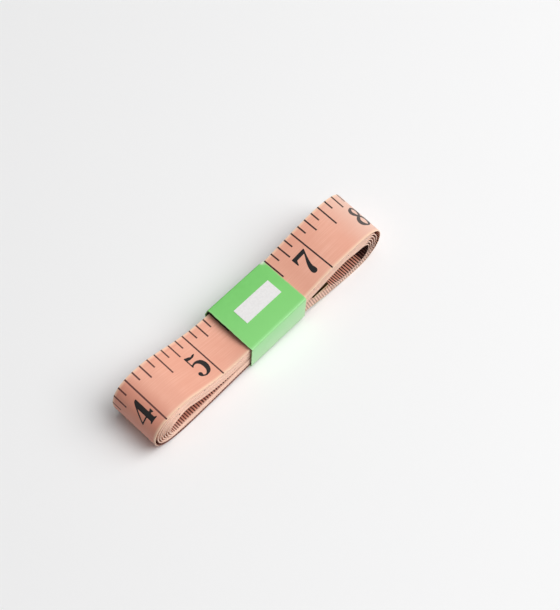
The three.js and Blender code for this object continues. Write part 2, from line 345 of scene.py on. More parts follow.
# The winding's centreline
tapeLow, tapeHigh = nodeBox("tape_ribbon")
outerTipLow, outerTipHigh = nodeBox("outer_end_tip")
innerTipLow, innerTipHigh = nodeBox("inner_end_tip")
winding = dict(
    width=tapeHigh[1] - tapeLow[1], thickness=0.34, turns=7, step=0.5,
    # upper runs: place, height of the outermost surface, step from turn to turn
    top=[(-41.0, 16.45, 0.74), (-36.5, 16.1, 0.81), (-31.0, 14.5, 0.88), (-25.0, 12.5, 0.80),
         (-18.5, 11.0, 0.71), (-8.4, 10.4, 0.66), (4.3, 11.25, 0.71), (17.0, 13.1, 0.91),
         (23.1, 14.5, 0.97), (29.3, 15.7, 0.89), (35.6, 16.2, 0.79), (42.0, 16.25, 0.95)],
    # lower runs: place, height of the lowest surface, step, turns missing below, slack above the first turn
    bottom=[(-43.0, 0.0, 0.41, 0, 1.15), (-40.0, 0.0, 0.41, 0, 0.72), (-36.0, 0.15, 0.40, 0, 0.36),
            (-30.7, 0.55, 0.40, 0, 0.30), (-23.0, 1.00, 0.40, 0, 0.28), (-10.7, 1.55, 0.47, 0, 0.15),
            (16.0, 2.45, 0.63, 0, 0.0), (22.8, 2.35, 0.67, 1, 0.0), (27.6, 1.10, 0.62, 1, 0.0),
            (32.5, 0.62, 0.45, 1, 0.0), (37.3, 0.05, 0.43, 1, 0.0), (41.0, 0.0, 0.50, 1, 0.0)],
    leftPitch=0.86, leftSlack=0.35, leftShort=0.25, leftMiddle=(7.4, 8.5), leftTopStep=0.35, leftLowStep=0.4,
    rightPitch=0.90, rightSlack=0.8, rightLong=0.75, rightMiddle=(8.8, 7.6), roundness=2.4, lowRoundness=2.1,
    bendParts=60, looseParts=80, runParts=5,  # points in a bend, in a loose end, and to a millimetre of a run
    mouth=15.0, endRun=4.0, tipNose=0.45,
    outerTip=dict(rise=0.6, droop=0.17, reach=0.0), innerTip=dict(rise=-1.15, droop=0.01, reach=0.8),
    tuck=-0.28, tuckFrom=-47.0, tuckOver=8.0, tuckEnd=84.0,  # the first lower run stands out under the others
    endTuck=0.5,  # and the outer end lies back under them
    spread=0.13, spreadFrom=-36.0, spreadOver=10.0, turnLength=205.0,  # inner turns stand out at the left
    sway=((0.05, 305.0, 0.4), (0.04, 121.0, 2.1)),  # amount, length and start of the turns' sideways wander
    skew=0.025, skewFrom=42.0, skewTo=51.0,  # the right bend leans towards the far side
    twist=0.6, nearShift=0.25, twistFrom=-8.0, twistOver=25.0,  # the left end is turned a little
    lift=1.1, liftFrom=28.0, liftOver=14.0,  # the right end's far side stands higher
    cup=(-0.3, 1.1, -0.8), cupAt=-8.0, cupLeft=11.0, cupRight=9.0,  # the middle sinks at the left mouth
    fullHeight=12.0,  # what stands this high takes the whole of the twist, the lift and the cup
)


def upperRun(turn, x):  # height of the outermost surface, less half the tape and the turns above
    rows = np.array(winding["top"])
    return curveThrough(x, rows[:, 0], rows[:, 1] - winding["thickness"] / 2 - turn * rows[:, 2])


def lowerRun(turn, x):  # height of the lowest surface, plus half the tape, the turns below and the slack
    rows = np.array(winding["bottom"])
    slack = rows[:, 4] * (turn > 0)
    height = rows[:, 1] + winding["thickness"] / 2 + (turn - rows[:, 3]) * rows[:, 2] + slack
    return curveThrough(x, rows[:, 0], height)


def bendRun(top, bottom, endX, middleZ):  # two superellipse quarters, from the lower run to the upper run
    angle = np.linspace(0, math.pi / 2, winding["bendParts"])
    power, lowPower = 2 / winding["roundness"], 2 / winding["lowRoundness"]
    sine, cosine = np.sin(angle), np.cos(angle)
    low = np.stack([bottom[0] + (endX - bottom[0]) * sine ** lowPower,
                    middleZ + (bottom[1] - middleZ) * cosine ** lowPower], -1)
    high = np.stack([top[0] + (endX - top[0]) * cosine ** power,
                     middleZ + (top[1] - middleZ) * sine ** power], -1)
    return np.concatenate([low, high[1:]])


def straightRun(run, turn, fromX, toX):  # even steps along one run of one turn
    x = np.linspace(fromX, toX, int(abs(toX - fromX) * winding["runParts"]) + 2)
    return np.stack([x, run(turn, x)], -1)


def tipLine(low, high, rise, droop, reach):  # a tip's middle line, from the corners of its solid
    return dict(level=(low[2] + high[2]) / 2 + rise, root=low[0], end=high[0] + reach, droop=droop)


def tipHeight(x, tip):  # a tip's middle height: straight, drooping to the right from its root
    return tip["level"] - tip["droop"] * (x - tip["root"])


def looseRun(run, turn, tip):  # leaves the stack at the band's mouth and comes down to its tip's line
    x = np.linspace(winding["mouth"], tip["end"] - winding["tipNose"], winding["looseParts"])
    start = run(turn, x)
    share = ease((x - winding["mouth"]) / winding["endRun"])
    return np.stack([x, start + (tipHeight(x, tip) - start) * share], -1)


def windingLine():  # each turn's lower run, left bend, upper run and right bend in order, in even steps
    w = winding
    half, last = w["thickness"] / 2, w["turns"] - 1
    topRight, lowRight = w["top"][-1][0], w["bottom"][-1][0]
    runs = [looseRun(lowerRun, 0, outerLine)[::-1]]
    for turn in range(w["turns"]):
        topLeft = w["top"][0][0] + turn * w["leftTopStep"]
        lowLeft = w["bottom"][0][0] + turn * w["leftLowStep"]
        runs.append(straightRun(lowerRun, turn, lowRight if turn else w["mouth"], lowLeft)[1:])
        upper = straightRun(upperRun, turn, topLeft, w["mouth"] if turn == last else topRight)
        inset = half + w["leftShort"] + turn * w["leftPitch"] + w["leftSlack"] * (turn > 0)
        middle = between(w["leftMiddle"], turn / last)
        runs.append(bendRun(upper[0], runs[-1][-1], tapeLow[0] + inset, middle)[1:])
        runs.append(upper[1:])
        if turn == last:
            runs.append(looseRun(upperRun, turn, innerLine)[1:])
        else:
            inset = half - w["rightLong"] + turn * w["rightPitch"] + w["rightSlack"] * (turn > 0)
            middle = between(w["rightMiddle"], turn / (last - 1))
            below = straightRun(lowerRun, turn + 1, lowRight, lowRight)[0]
            runs.append(bendRun(upper[-1], below, tapeHigh[0] - inset, middle)[::-1][1:])
    route = np.concatenate(runs)
    length = np.concatenate([[0], np.cumsum(np.hypot(*np.diff(route, axis=0).T))])
    along = np.linspace(0, length[-1], int(length[-1] / w["step"]) + 1)
    x, z = np.interp(along, length, route[:, 0]), np.interp(along, length, route[:, 1])
    tangent = np.stack([np.gradient(x), np.gradient(z)])
    tangent = tangent / np.hypot(*tangent)
    return dict(along=along, x=x, z=z, outX=-tangent[1], outZ=tangent[0])


outerLine = tipLine(outerTipLow, outerTipHigh, **winding["outerTip"])
innerLine = tipLine(innerTipLow, innerTipHigh, **winding["innerTip"])
line = windingLine()
tapeLength = line["along"][-1]
halfTape = winding["thickness"] / 2


# Centreline + height along its normal, then across from the far edge, then the cloth's slack:
# sway, tuck and spread move it sideways, twist, lift and cup upwards, and lean lengthways
def onTape(along, across, height):
    w = winding
    x = np.interp(along, line["along"], line["x"]) + height * np.interp(along, line["along"], line["outX"])
    z = np.interp(along, line["along"], line["z"]) + height * np.interp(along, line["along"], line["outZ"])
    sway = sum(size * np.sin(2 * math.pi * along / wave + start) for size, wave, start in w["sway"])
    tucked = w["tuck"] * ease((x - w["tuckFrom"]) / w["tuckOver"]) * ease((w["mouth"] - x) / w["tuckOver"])
    lapped = w["endTuck"] * ease((x - w["mouth"]) / w["endRun"])
    turned = ease((w["twistFrom"] - x) / w["twistOver"])
    spread = w["spread"] * along / w["turnLength"] * ease((w["spreadFrom"] - x) / w["spreadOver"])
    y = w["width"] / 2 - across + sway + (tucked + lapped) * (along < w["tuckEnd"])
    y = y - w["nearShift"] * turned - spread
    farShare, upShare = y / w["width"] + 0.5, np.clip(z / w["fullHeight"], 0, 1)
    z = z + w["twist"] * (2 * farShare - 1) * turned * upShare
    z = z + w["lift"] * farShare * upShare * ease((x - w["liftFrom"]) / w["liftOver"])
    side = 2 * y / w["width"]
    cupped = w["cup"][0] * side + w["cup"][1] * side ** 2 + w["cup"][2]
    atMouth = ease(1 - (w["cupAt"] - x) / w["cupLeft"]) * ease(1 - (x - w["cupAt"]) / w["cupRight"])
    z = z + cupped * upShare * atMouth
    lean = w["skew"] * (y + w["width"] / 2)
    x = x + lean * ease((x - w["skewFrom"]) / (w["skewTo"] - w["skewFrom"]))
    return np.stack([x, y + 0 * x, z], -1)


print(f"winding is {tapeLength:.0f} mm long")

# The tape itself
tapeShape = dict(
    edgeRound=0.07, border=1.0, faceParts=9, paintMargin=1.5, firstTurn=225.0,
    reverseShares=(0.65, 0.28), reverseFrom=15.0, reverseOver=12.0,  # painted shade: the inner face is painted deeper, most at left
    inkedFrom=15.0, inkedBelow=7.5, inkShare=0.6,  # ink on the cut edges of the right end's lower runs
    lineFrom=-53.0, lineOver=4.0, lineTo=-8.0, lineShare=0.95,  # painted shadow, with some ink, on the first run's edge at the left end
    gapBelow=5.0, gapOver=2.0, gapFrom=-44.0,  # and painted shade in the gap above that run, at the bend
    paleFrom=-38.0, paleOver=4.0, paleShare=0.85,  # painted light: inner turns are paler beside their edges at the left bend, against the shade between them
    crestFrom=38.0, crestOver=14.0,  # painted sheen: the outermost turn is painted paler at the right end's crest
    shadeFrom=-41.0, shadeOver=7.0, shadeShare=0.8,  # and painted shade, deeper pink, at the left bend
)


def paintTape(ribbon, points, along, across, height):  # the share of each tone, point by point
    shape, width = tapeShape, winding["width"]
    x, z = points[..., 0], points[..., 2]
    fromMiddle = np.abs(across - width / 2)
    edge = (fromMiddle > width / 2 - shape["edgeRound"] * shape["paintMargin"]).astype(float)
    border = fromMiddle > width / 2 - shape["border"] * shape["paintMargin"]
    first = along < shape["firstTurn"]
    outerFace = first & (height > 0)
    firstNear = (along < winding["tuckEnd"]) & (across > width / 2)  # the first lower run's near half
    shade = shape["shadeShare"] * ease((shape["shadeFrom"] - x) / shape["shadeOver"])
    inked = shape["inkShare"] * ((x > shape["inkedFrom"]) & (z < shape["inkedBelow"]))
    lined = shape["lineShare"] * ease((x - shape["lineFrom"]) / shape["lineOver"]) * (x < shape["lineTo"])
    gap = shape["lineShare"] * ease((shape["gapBelow"] - z) / shape["gapOver"]) * (x < shape["gapFrom"])
    pale = shape["paleShare"] * border * ease((shape["paleFrom"] - x) / shape["paleOver"])
    reverse = between(shape["reverseShares"], ease((x - shape["reverseFrom"]) / shape["reverseOver"]))
    # painted sheen at the right end's crest
    paintPoints(ribbon, "crestSheen", outerFace * ease((x - shape["crestFrom"]) / shape["crestOver"]))
    # painted shade at the left bend
    paintPoints(ribbon, "bendShade", outerFace * shade)
    paintPoints(ribbon, "outerEdge", edge * first)
    # paler cut edges of the inner turns, and painted light beside them at the left bend
    paintPoints(ribbon, "innerEdgeAndPaintedLight", np.maximum(edge, pale) * ~first)
    paintPoints(ribbon, "edgeInk", edge * inked)
    # painted shadow, with some ink, along the first run's edge and in the gap above it
    paintPoints(ribbon, "edgeShadowAndInk", np.maximum(edge * lined, gap * border * (height < 0)) * firstNear)
    # painted shade on the inner face, most at the left
    paintPoints(ribbon, "reverse", reverse * (height < 0))


def makeTape():  # a rectangle with eased corners carried along the centreline, closed at both ends
    width, eased = winding["width"], tapeShape["edgeRound"]
    face = np.linspace(tapeShape["border"], width - tapeShape["border"], tapeShape["faceParts"] + 1)
    face = np.concatenate([[eased], face, [width - eased]])
    across = np.concatenate([face, [width, width], face[::-1], [0, 0]])
    flat, cut = np.full(len(face), halfTape), halfTape - eased
    height = np.concatenate([flat, [cut, -cut], -flat, [-cut, cut]])
    along = line["along"][:, None]
    points = onTape(along + 0 * across, across + 0 * along, height + 0 * along)
    rows, columns = points.shape[:2]
    ring = np.arange(columns)
    rowStart = np.arange(rows - 1)[:, None] * columns
    i, j = rowStart + ring, rowStart + np.roll(ring, -1)
    faces = np.stack([i, j, j + columns, i + columns], -1).reshape(-1, 4).tolist()
    faces += [ring[::-1].tolist(), (ring + (rows - 1) * columns).tolist()]
    ribbon = makePiece("tapeRibbon", points, faces, coatedCloth)
    paintTape(ribbon, points, along, across, height)
    place = np.stack(np.broadcast_arrays(along, across), -1).reshape(-1, 2)
    corner = np.zeros(len(ribbon.data.loops), np.int32)
    ribbon.data.loops.foreach_get("vertex_index", corner)
    flatMap = ribbon.data.uv_layers.new(name="clothMap")  # millimetres along and across
    flatMap.data.foreach_set("uv", place[corner].astype(np.float32).ravel())
    return ribbon


tape = makeTape()
print("tape made")

# The printed scales
marks = dict(film=0.02, sink=0.03, columns=3, endGap=1.5)
inches = dict(
    inch=25.4, parts=8, markWidth=0.55, lengths={0: 18.85, 4: 8.75, 2: 5.7, 6: 5.7}, short=3.77,
    fromEdge=0.04, markParts=9, knownInch=6, knownAt=4.3, firstRise=(90.0, 200.0),
)
millimetres = dict(
    step=1.0, parts=10, markWidth=0.46, lengths={0: 8.4, 5: 6.6}, short=5.2, markParts=3,
    fromEdge=0.45, shyBefore=29.0,  # inner turns' marks stop short of the cut edge
    bendEdge=2.6, bendBefore=-37.0, bendTurns=235.0,  # and further short at the left bend
    heavyWidth=0.93, heavyFrom=44.0, heavyTurns=200.0,  # broad marks at the right eye's end
)


def markLengths(counts, scale):  # the length of each mark, by its place among the scale's parts
    lengths = np.full(len(counts), float(scale["short"]))
    for part, length in scale["lengths"].items():
        lengths[counts % scale["parts"] == part] = length
    return lengths


def scaleMarks(name, places, lengths, starts, widths, parts, side, material):  # slabs of ink on a face
    sideways = np.linspace(-0.5, 0.5, marks["columns"])[:, None] * widths[:, None, None]
    inwards = np.linspace(0, 1, parts) * (lengths - starts)[:, None, None]
    along, across = np.broadcast_arrays(places[:, None, None] + sideways, starts[:, None, None] + inwards)
    if side < 0:  # the inner face is marked from the near edge
        across = winding["width"] - across
    outer = onTape(along, across, side * (halfTape + marks["film"]))
    inner = onTape(along, across, side * (halfTape - marks["sink"]))
    faces = slabFaces(outer[0], inner[0])
    points = np.concatenate([outer.reshape(len(places), -1, 3), inner.reshape(len(places), -1, 3)], 1)
    shifts = np.arange(len(places))[:, None, None] * points.shape[1]
    return makePiece(name, points, (faces + shifts).reshape(-1, 4).tolist(), material)


# One inch mark's place on the first upper run gives the place of the scale's zero
onRise = (line["along"] > inches["firstRise"][0]) & (line["along"] < inches["firstRise"][1])
knownAlong = np.interp(inches["knownAt"], line["x"][onRise], line["along"][onRise])
zeroAt = knownAlong - inches["knownInch"] * inches["inch"]
eighth = inches["inch"] / inches["parts"]


def countsFrom(step, before, after):  # the counts that fall on the tape, clear of its two ends
    return np.arange(math.ceil((before - zeroAt) / step), int((tapeLength - zeroAt - after) / step))


inchCounts = countsFrom(eighth, marks["endGap"], marks["endGap"])
alike = np.ones(len(inchCounts))
inchMarks = scaleMarks("inchMarks", zeroAt + inchCounts * eighth, markLengths(inchCounts, inches),
                       inches["fromEdge"] * alike, inches["markWidth"] * alike,
                       inches["markParts"], 1, brownInk)
tickCounts = countsFrom(millimetres["step"], marks["endGap"], marks["endGap"])
tickPlaces = zeroAt + tickCounts * millimetres["step"]
tickX = np.interp(tickPlaces, line["along"], line["x"])
pastFirst, toEnd = tickPlaces > winding["tuckEnd"], tapeLength - tickPlaces
shy = pastFirst & (tickX < millimetres["shyBefore"])
bent = pastFirst & (tickX < millimetres["bendBefore"]) & (toEnd > millimetres["bendTurns"])
heavy = (tickX > millimetres["heavyFrom"]) & (toEnd < millimetres["heavyTurns"])
starts = np.where(shy, millimetres["fromEdge"], inches["fromEdge"])
starts[bent] = millimetres["bendEdge"]
widths = np.where(heavy, millimetres["heavyWidth"], millimetres["markWidth"])
millimetreMarks = scaleMarks("millimetreMarks", tickPlaces, markLengths(tickCounts, millimetres),
                             starts, widths, millimetres["markParts"], -1, maroonInk)
print(f"{len(inchCounts)} inch marks and {len(tickCounts)} millimetre marks")

# Bold upright numerals: strokes are (x, y, half width) down a line, plates are flat corners, height 1
strokes = {
    "0": [[(0.27, 0.967, 0.030), (0.11, 0.80, 0.075), (0.085, 0.50, 0.085), (0.11, 0.20, 0.075),
           (0.27, 0.033, 0.030), (0.43, 0.20, 0.075), (0.455, 0.50, 0.085), (0.43, 0.80, 0.075),
           (0.27, 0.967, 0.030)]],
    "2": [[(0.10, 0.74, 0.070), (0.12, 0.89, 0.030), (0.26, 0.967, 0.032), (0.41, 0.87, 0.075),
           (0.43, 0.72, 0.085), (0.33, 0.50, 0.060), (0.17, 0.26, 0.036), (0.06, 0.09, 0.030)],
          [(0.08, 0.09, 0.060), (0.20, 0.105, 0.072), (0.34, 0.072, 0.070), (0.45, 0.10, 0.045),
           (0.50, 0.25, 0.016)]],
    "3": [[(0.10, 0.79, 0.070), (0.13, 0.90, 0.030), (0.26, 0.968, 0.030), (0.39, 0.88, 0.070),
           (0.41, 0.74, 0.078), (0.35, 0.60, 0.046), (0.22, 0.535, 0.024)],
          [(0.22, 0.535, 0.024), (0.38, 0.47, 0.055), (0.44, 0.28, 0.090), (0.39, 0.12, 0.070),
           (0.25, 0.032, 0.030), (0.11, 0.09, 0.040), (0.10, 0.18, 0.072)]],
    "5": [[(0.10, 0.55, 0.020), (0.17, 0.61, 0.030), (0.28, 0.63, 0.045), (0.41, 0.53, 0.085),
           (0.445, 0.33, 0.095), (0.39, 0.13, 0.070), (0.25, 0.032, 0.030), (0.13, 0.08, 0.034),
           (0.11, 0.17, 0.078)]],
    "6": [[(0.41, 0.83, 0.070), (0.39, 0.93, 0.030), (0.28, 0.968, 0.030), (0.15, 0.84, 0.065),
           (0.095, 0.58, 0.088), (0.095, 0.32, 0.090), (0.15, 0.12, 0.066), (0.28, 0.032, 0.030),
           (0.40, 0.14, 0.075), (0.44, 0.31, 0.088), (0.40, 0.48, 0.070), (0.28, 0.585, 0.030),
           (0.15, 0.49, 0.030)]],
    "7": [[(0.50, 0.97, 0.018), (0.40, 0.74, 0.034), (0.31, 0.52, 0.056), (0.25, 0.32, 0.080),
           (0.235, 0.16, 0.104), (0.235, 0.11, 0.105)]],
    "8": [[(0.27, 0.970, 0.028), (0.14, 0.86, 0.066), (0.13, 0.70, 0.070), (0.27, 0.53, 0.040),
           (0.41, 0.70, 0.060), (0.40, 0.86, 0.056), (0.27, 0.970, 0.028)],
          [(0.27, 0.53, 0.040), (0.11, 0.38, 0.070), (0.10, 0.18, 0.078), (0.27, 0.030, 0.030),
           (0.44, 0.18, 0.078), (0.43, 0.38, 0.070), (0.27, 0.53, 0.040)]],
}
eightEdge, eightNarrow, sixWidth = 0.09, 0.88, 0.54
strokes["8"] = [[(eightEdge + eightNarrow * (x - eightEdge), y, r) for x, y, r in loop]
                for loop in strokes["8"]]  # drawn in towards its left edge
strokes["9"] = [[(sixWidth - x, 1 - y, r) for x, y, r in strokes["6"][0]]]  # a 6 turned round
plates = {
    "1": [[(0.19, 0.02), (0.36, 0.02), (0.36, 1.0), (0.31, 1.0), (0.19, 0.93)],
          [(0.05, 0.0), (0.50, 0.0), (0.50, 0.045), (0.05, 0.045)],
          [(0.04, 0.80), (0.20, 0.84), (0.31, 1.0), (0.04, 0.85)]],
    "4": [[(0.29, 0.0), (0.45, 0.0), (0.45, 1.0), (0.40, 1.0), (0.29, 0.80)],
          [(0.0, 0.27), (0.055, 0.27), (0.42, 1.0), (0.36, 0.98)],
          [(0.0, 0.27), (0.54, 0.27), (0.54, 0.325), (0.03, 0.325)],
          [(0.20, 0.0), (0.54, 0.0), (0.45, 0.08), (0.29, 0.08)],
          [(0.45, 0.27), (0.54, 0.20), (0.54, 0.40), (0.45, 0.325)]],
    "5": [[(0.085, 0.52), (0.125, 0.52), (0.125, 1.0), (0.085, 1.0)],
          [(0.085, 0.86), (0.22, 0.83), (0.36, 0.85), (0.25, 0.955), (0.085, 1.0)],
          [(0.25, 0.955), (0.22, 0.83), (0.36, 0.85), (0.44, 0.91), (0.49, 1.01), (0.38, 0.955)]],
    "7": [[(0.03, 0.835), (0.42, 0.835), (0.52, 1.0), (0.03, 1.0)],
          [(0.03, 0.66), (0.055, 0.66), (0.13, 0.84), (0.03, 0.84)]],
}
numerals = dict(
    stretch=1.28, weight=1.1, boxWidth=0.73, boxHeight=1.05, advance=0.72, discs=16, keepOff=0.06, tiny=1e-9,
    film=0.02, depth=0.035, clear=10.0, shownBefore=225.0, shownAfter=190.0,  # the turns between are hidden
)
inchRow = dict(step=inches["inch"], height=8.95, baseline=15.85, beforeLine=0.75, side=1,
               cells=dict(fine=0.026, hidden=0.045))
centimetreRow = dict(step=10.0, height=4.4, baseline=5.6, beforeLine=0.8, side=-1,
                     cells=dict(fine=0.043, hidden=0.082))


def numeralField(sign, x, y):  # distance outside it: least over discs down each stroke and over plates
    field = np.full(x.shape, 1.0)
    for stroke in strokes.get(sign, []):
        steps = np.linspace(0, len(stroke) - 1, numerals["discs"] * len(stroke))
        px, py, radius = curveThrough(steps, np.arange(len(stroke)), np.array(stroke)).T
        px, radius = px * numerals["stretch"], radius * numerals["weight"]
        field = np.minimum(field, (np.hypot(x[..., None] - px, y[..., None] - py) - radius).min(-1))
    for plate in plates.get(sign, []):
        corner = np.array(plate) * (numerals["stretch"], 1)
        step = np.roll(corner, -1, 0) - corner
        out = np.stack([step[:, 1], -step[:, 0]], -1) / np.hypot(*step.T)[:, None]
        side = (x[..., None] - corner[:, 0]) * out[:, 0] + (y[..., None] - corner[:, 1]) * out[:, 1]
        field = np.minimum(field, side.max(-1))
    return field


def numeralSheet(sign, cell):  # the field's inside, cut cell by cell along its zero line, as triangles
    across, up = int(numerals["boxWidth"] / cell) + 2, int(numerals["boxHeight"] / cell) + 2
    x, y = np.meshgrid((np.arange(across + 1) - 1) * cell, (np.arange(up + 1) - 1) * cell)
    field = numeralField(sign, x, y)
    corners = np.stack([x, y], -1)

    def crossing(a, b, fa, fb):
        share = fa / np.where(np.abs(fa - fb) < numerals["tiny"], 1, fa - fb)
        share = np.clip(share, numerals["keepOff"], 1 - numerals["keepOff"])
        return a + share[..., None] * (b - a)

    level = crossing(corners[:, :-1], corners[:, 1:], field[:, :-1], field[:, 1:])
    upright = crossing(corners[:-1], corners[1:], field[:-1], field[1:])
    points = np.concatenate([part.reshape(-1, 2) for part in (corners, level, upright)])
    j, i = np.mgrid[0:up, 0:across]
    cornerIds = np.stack([j * (across + 1) + i, j * (across + 1) + i + 1,
                          (j + 1) * (across + 1) + i + 1, (j + 1) * (across + 1) + i], -1)
    levelStart = corners.shape[0] * corners.shape[1]
    uprightStart = levelStart + (up + 1) * across
    edgeIds = np.stack([levelStart + j * across + i, uprightStart + j * (across + 1) + i + 1,
                        levelStart + (j + 1) * across + i, uprightStart + j * (across + 1) + i], -1)
    inside = np.stack([field[:-1, :-1], field[:-1, 1:], field[1:, 1:], field[1:, :-1]], -1) < 0
    case = inside @ (2 ** np.arange(4))  # which corners are inside, as a binary number
    faces = []
    for kind in range(1, 16):
        held = [bool(kind >> k & 1) for k in range(4)]
        here = case == kind
        ring = []
        for k in range(4):
            if held[k]:
                ring.append(cornerIds[here][:, k])
            if held[k] != held[(k + 1) % 4]:
                ring.append(edgeIds[here][:, k])
        faces += [np.stack([ring[0], ring[k], ring[k + 1]], -1) for k in range(1, len(ring) - 1)]
    used, order = np.unique(np.concatenate(faces), return_inverse=True)
    return points[used], order.reshape(-1, 3)


def numberRow(name, row):  # each number ends just before its mark, laid on one face of the tape
    step, height, lift = row["step"], row["height"], row["side"] * (halfTape + numerals["film"])
    numbers = countsFrom(step, numerals["clear"], numerals["clear"] - step)
    sheets = {kind: {sign: numeralSheet(sign, cell) for sign in "0123456789"}
              for kind, cell in row["cells"].items()}
    points, faces, start = [], [], 0
    for number in numbers:
        signs = str(number)
        right = zeroAt + number * step - row["beforeLine"]
        shown = right < numerals["shownBefore"] or right > tapeLength - numerals["shownAfter"]
        for place, sign in enumerate(signs):
            sheet, triangles = sheets["fine" if shown else "hidden"][sign]
            left = right - (len(signs) - place) * numerals["advance"] * height
            across = row["baseline"] - row["side"] * sheet[:, 1] * height
            points.append(onTape(left + sheet[:, 0] * height, across, lift))
            faces.append(triangles + start)
            start += len(sheet)
    piece = makePiece(name, np.concatenate(points), np.concatenate(faces).tolist(), blackInk)
    film = piece.modifiers.new("film", "SOLIDIFY")
    film.thickness = numerals["depth"] * mm
    film.offset = -1
    print(f"{name} {numbers[0]} to {numbers[-1]} printed")
    return piece


inchNumbers = numberRow("inchNumbers", inchRow)
centimetreNumbers = numberRow("centimetreNumbers", centimetreRow)

# The crimped tips
tipShape = dict(
    sheet=0.22, slot=0.03, corner=0.35, across=85, fineReach=2.6, fineParts=22, coarseParts=9, noseParts=13,
    # the last two are each tip's share of painted shade on its top sheet
    dents=7, dentDepth=0.10, dentAt=1.6, dentLength=0.5, dentPower=3, outerShade=0.3, innerShade=1.0,
)


def makeTip(name, tip, paintedShade, inset):  # a U of sheet brass over the tape's end, dented near its open edge
    shape = tipShape
    width = winding["width"]
    inner = halfTape + shape["slot"]
    reach = tip["end"] - tip["root"] - shape["sheet"] - inner
    flat = np.concatenate([np.linspace(0, shape["fineReach"], shape["fineParts"]),
                           np.linspace(shape["fineReach"], reach, shape["coarseParts"])[1:]])
    angle = np.linspace(math.pi / 2, -math.pi / 2, shape["noseParts"])[1:-1]
    along = np.concatenate([flat, reach + inner * np.cos(angle), flat[::-1]])
    lift = np.concatenate([inner + 0 * flat, inner * np.sin(angle), -inner + 0 * flat])
    outAlong = np.concatenate([0 * flat, np.cos(angle), 0 * flat])
    outLift = np.concatenate([1 + 0 * flat, np.sin(angle), -1 + 0 * flat])
    y = np.linspace(-width / 2, width / 2, shape["across"])
    beyond = np.clip(np.abs(y) - (width / 2 - shape["corner"]), 0, None)
    short = shape["corner"] - np.sqrt(np.clip(shape["corner"] ** 2 - beyond ** 2, 0, None))
    pattern = (0.5 + 0.5 * np.cos(2 * math.pi * y * shape["dents"] / width)) ** shape["dentPower"]
    bump = np.exp(-((along - shape["dentAt"]) / shape["dentLength"]) ** 2)
    dent = shape["dentDepth"] * bump[:, None] * pattern
    scale = 1 - short / (reach + inner)

    def sheetAt(offset):
        x = tip["root"] + (along + offset * outAlong)[:, None] * scale
        z = tipHeight(x, tip) + lift[:, None] + (offset - dent * (offset > 0)) * outLift[:, None]
        return np.stack([x, y + inset + 0 * x, z], -1)

    outer, inside = sheetAt(shape["sheet"]), sheetAt(0.0)
    piece = makeSlab(name, outer, inside, stampedBrass)
    above = outer[..., 2] - tipHeight(outer[..., 0], tip)
    paintSheets(piece, "paintedShade", paintedShade * ease(above / shape["sheet"] + 0.5))  # painted shade on the top sheet; the cut edges stay bright
    return piece


outerTip = makeTip("outerTip", outerLine, tipShape["outerShade"], winding["endTuck"])
innerTip = makeTip("innerTip", innerLine, tipShape["innerShade"], 0.0)
print("tips made")

# The card band
band = dict(
    thickness=0.25, foldRadius=0.45, lengthParts=40, panelParts=18, foldParts=7, crowding=0.5,
    # folds of the strip at its left and right edges, in order from the inner end of the lap
    left=[(-9.5, 9.0, 1.35), (-9.55, -10.15, 1.30), (-9.05, -10.25, 11.55), (-8.85, 9.75, 12.55),
          (-9.75, 10.2, 10.4), (-9.7, 9.75, 1.02), (-9.6, -2.0, 1.02)],
    right=[(15.7, 9.0, 1.95), (15.6, -9.95, 1.90), (15.97, -10.2, 13.12), (16.4, 9.75, 13.20),
           (16.3, 9.75, 11.0), (15.9, 9.75, 1.62), (15.8, -2.0, 1.62)],
    bulge=0.12, ripple=0.05, waver=((1.0, 2.1, 0.0), (0.6, 5.3, 1.0)),  # amount, rate and start of the ripple
    creaseWidth=0.30, rimPale=0.1, sidePale=0.75, sideMargin=0.6, sideOver=0.5,
    wornAt=(15.9, 9.75, 13.2), wornSize=1.1, wornPower=4,
)
nearLow, nearTop, farTop = 1, 2, 3  # places of three of the folds in those lists


def foldedEdge(corners):  # straight panels joined by rounded folds, and how far each point is from a fold
    corners, radius = np.array(corners, float), band["foldRadius"]
    points, panel = [], []
    for k in range(len(corners) - 1):
        a, b = corners[k], corners[k + 1]
        way = (b - a) / np.linalg.norm(b - a)
        start = a + way * radius * (k > 0)
        end = b - way * radius * (k < len(corners) - 2)
        u = np.linspace(0, 1, band["panelParts"])
        u = between((u, ease(u)), band["crowding"])  # closer together beside the folds
        points.append(start + u[:, None] * (end - start))
        panel.append(np.sin(math.pi * u))
        if k < len(corners) - 2:
            ahead = corners[k + 2] - b
            beyond = b + ahead / np.linalg.norm(ahead) * radius
            t = np.linspace(0, 1, band["foldParts"] + 2)[1:-1, None]
            points.append((1 - t) ** 2 * end + 2 * t * (1 - t) * b + t * t * beyond)
            panel.append(np.full(band["foldParts"], -1.0))
    return np.concatenate(points), np.concatenate(panel)


